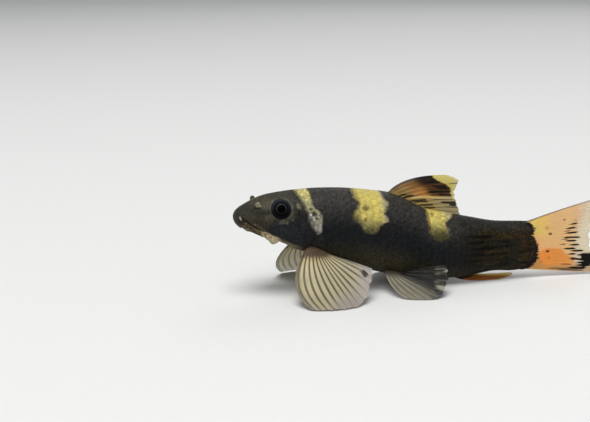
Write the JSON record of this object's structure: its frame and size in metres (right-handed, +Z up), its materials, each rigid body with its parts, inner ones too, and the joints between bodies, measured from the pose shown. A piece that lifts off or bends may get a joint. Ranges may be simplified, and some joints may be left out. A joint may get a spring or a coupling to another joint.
{
  "type": "panda garra fish",
  "caption": "Still life-size panda garra: plump dark bottom-living fish with pale bars, barbels and banded orange fins, propped on its spread paired fins.",
  "frame": {"origin": "on the floor under the middle of the fish's box", "axes": "-X towards the snout, so +X along the body to the tail tip; -Y towards the fish's left side; +Z up from the floor"},
  "size_m": [0.077, 0.0304, 0.0221],
  "materials": {
    "head_skin": "moist smooth skin",
    "body_skin": "moist finely scaled skin",
    "eye": "wet and glossy",
    "barbel": "soft moist skin",
    "dorsal_fin": "thin ribbed membrane",
    "caudal_fin": "thin ribbed membrane",
    "anal_fin": "thin ribbed membrane",
    "paired_fin": "thin ribbed membrane"
  },
  "bodies": {
    "root": {"head": "head_skin", "trunk": "body_skin", "tail_stem": "body_skin", "eye_left": "eye", "eye_right": "eye", "barbel_rostral_left": "barbel", "barbel_rostral_right": "barbel", "barbel_maxillary_left": "barbel", "barbel_maxillary_right": "barbel", "dorsal_fin": "dorsal_fin", "caudal_fin": "caudal_fin", "anal_fin": "anal_fin", "pectoral_fin_left": "paired_fin", "pectoral_fin_right": "paired_fin", "pelvic_fin_left": "paired_fin", "pelvic_fin_right": "paired_fin"}
  },
  "joints": []
}
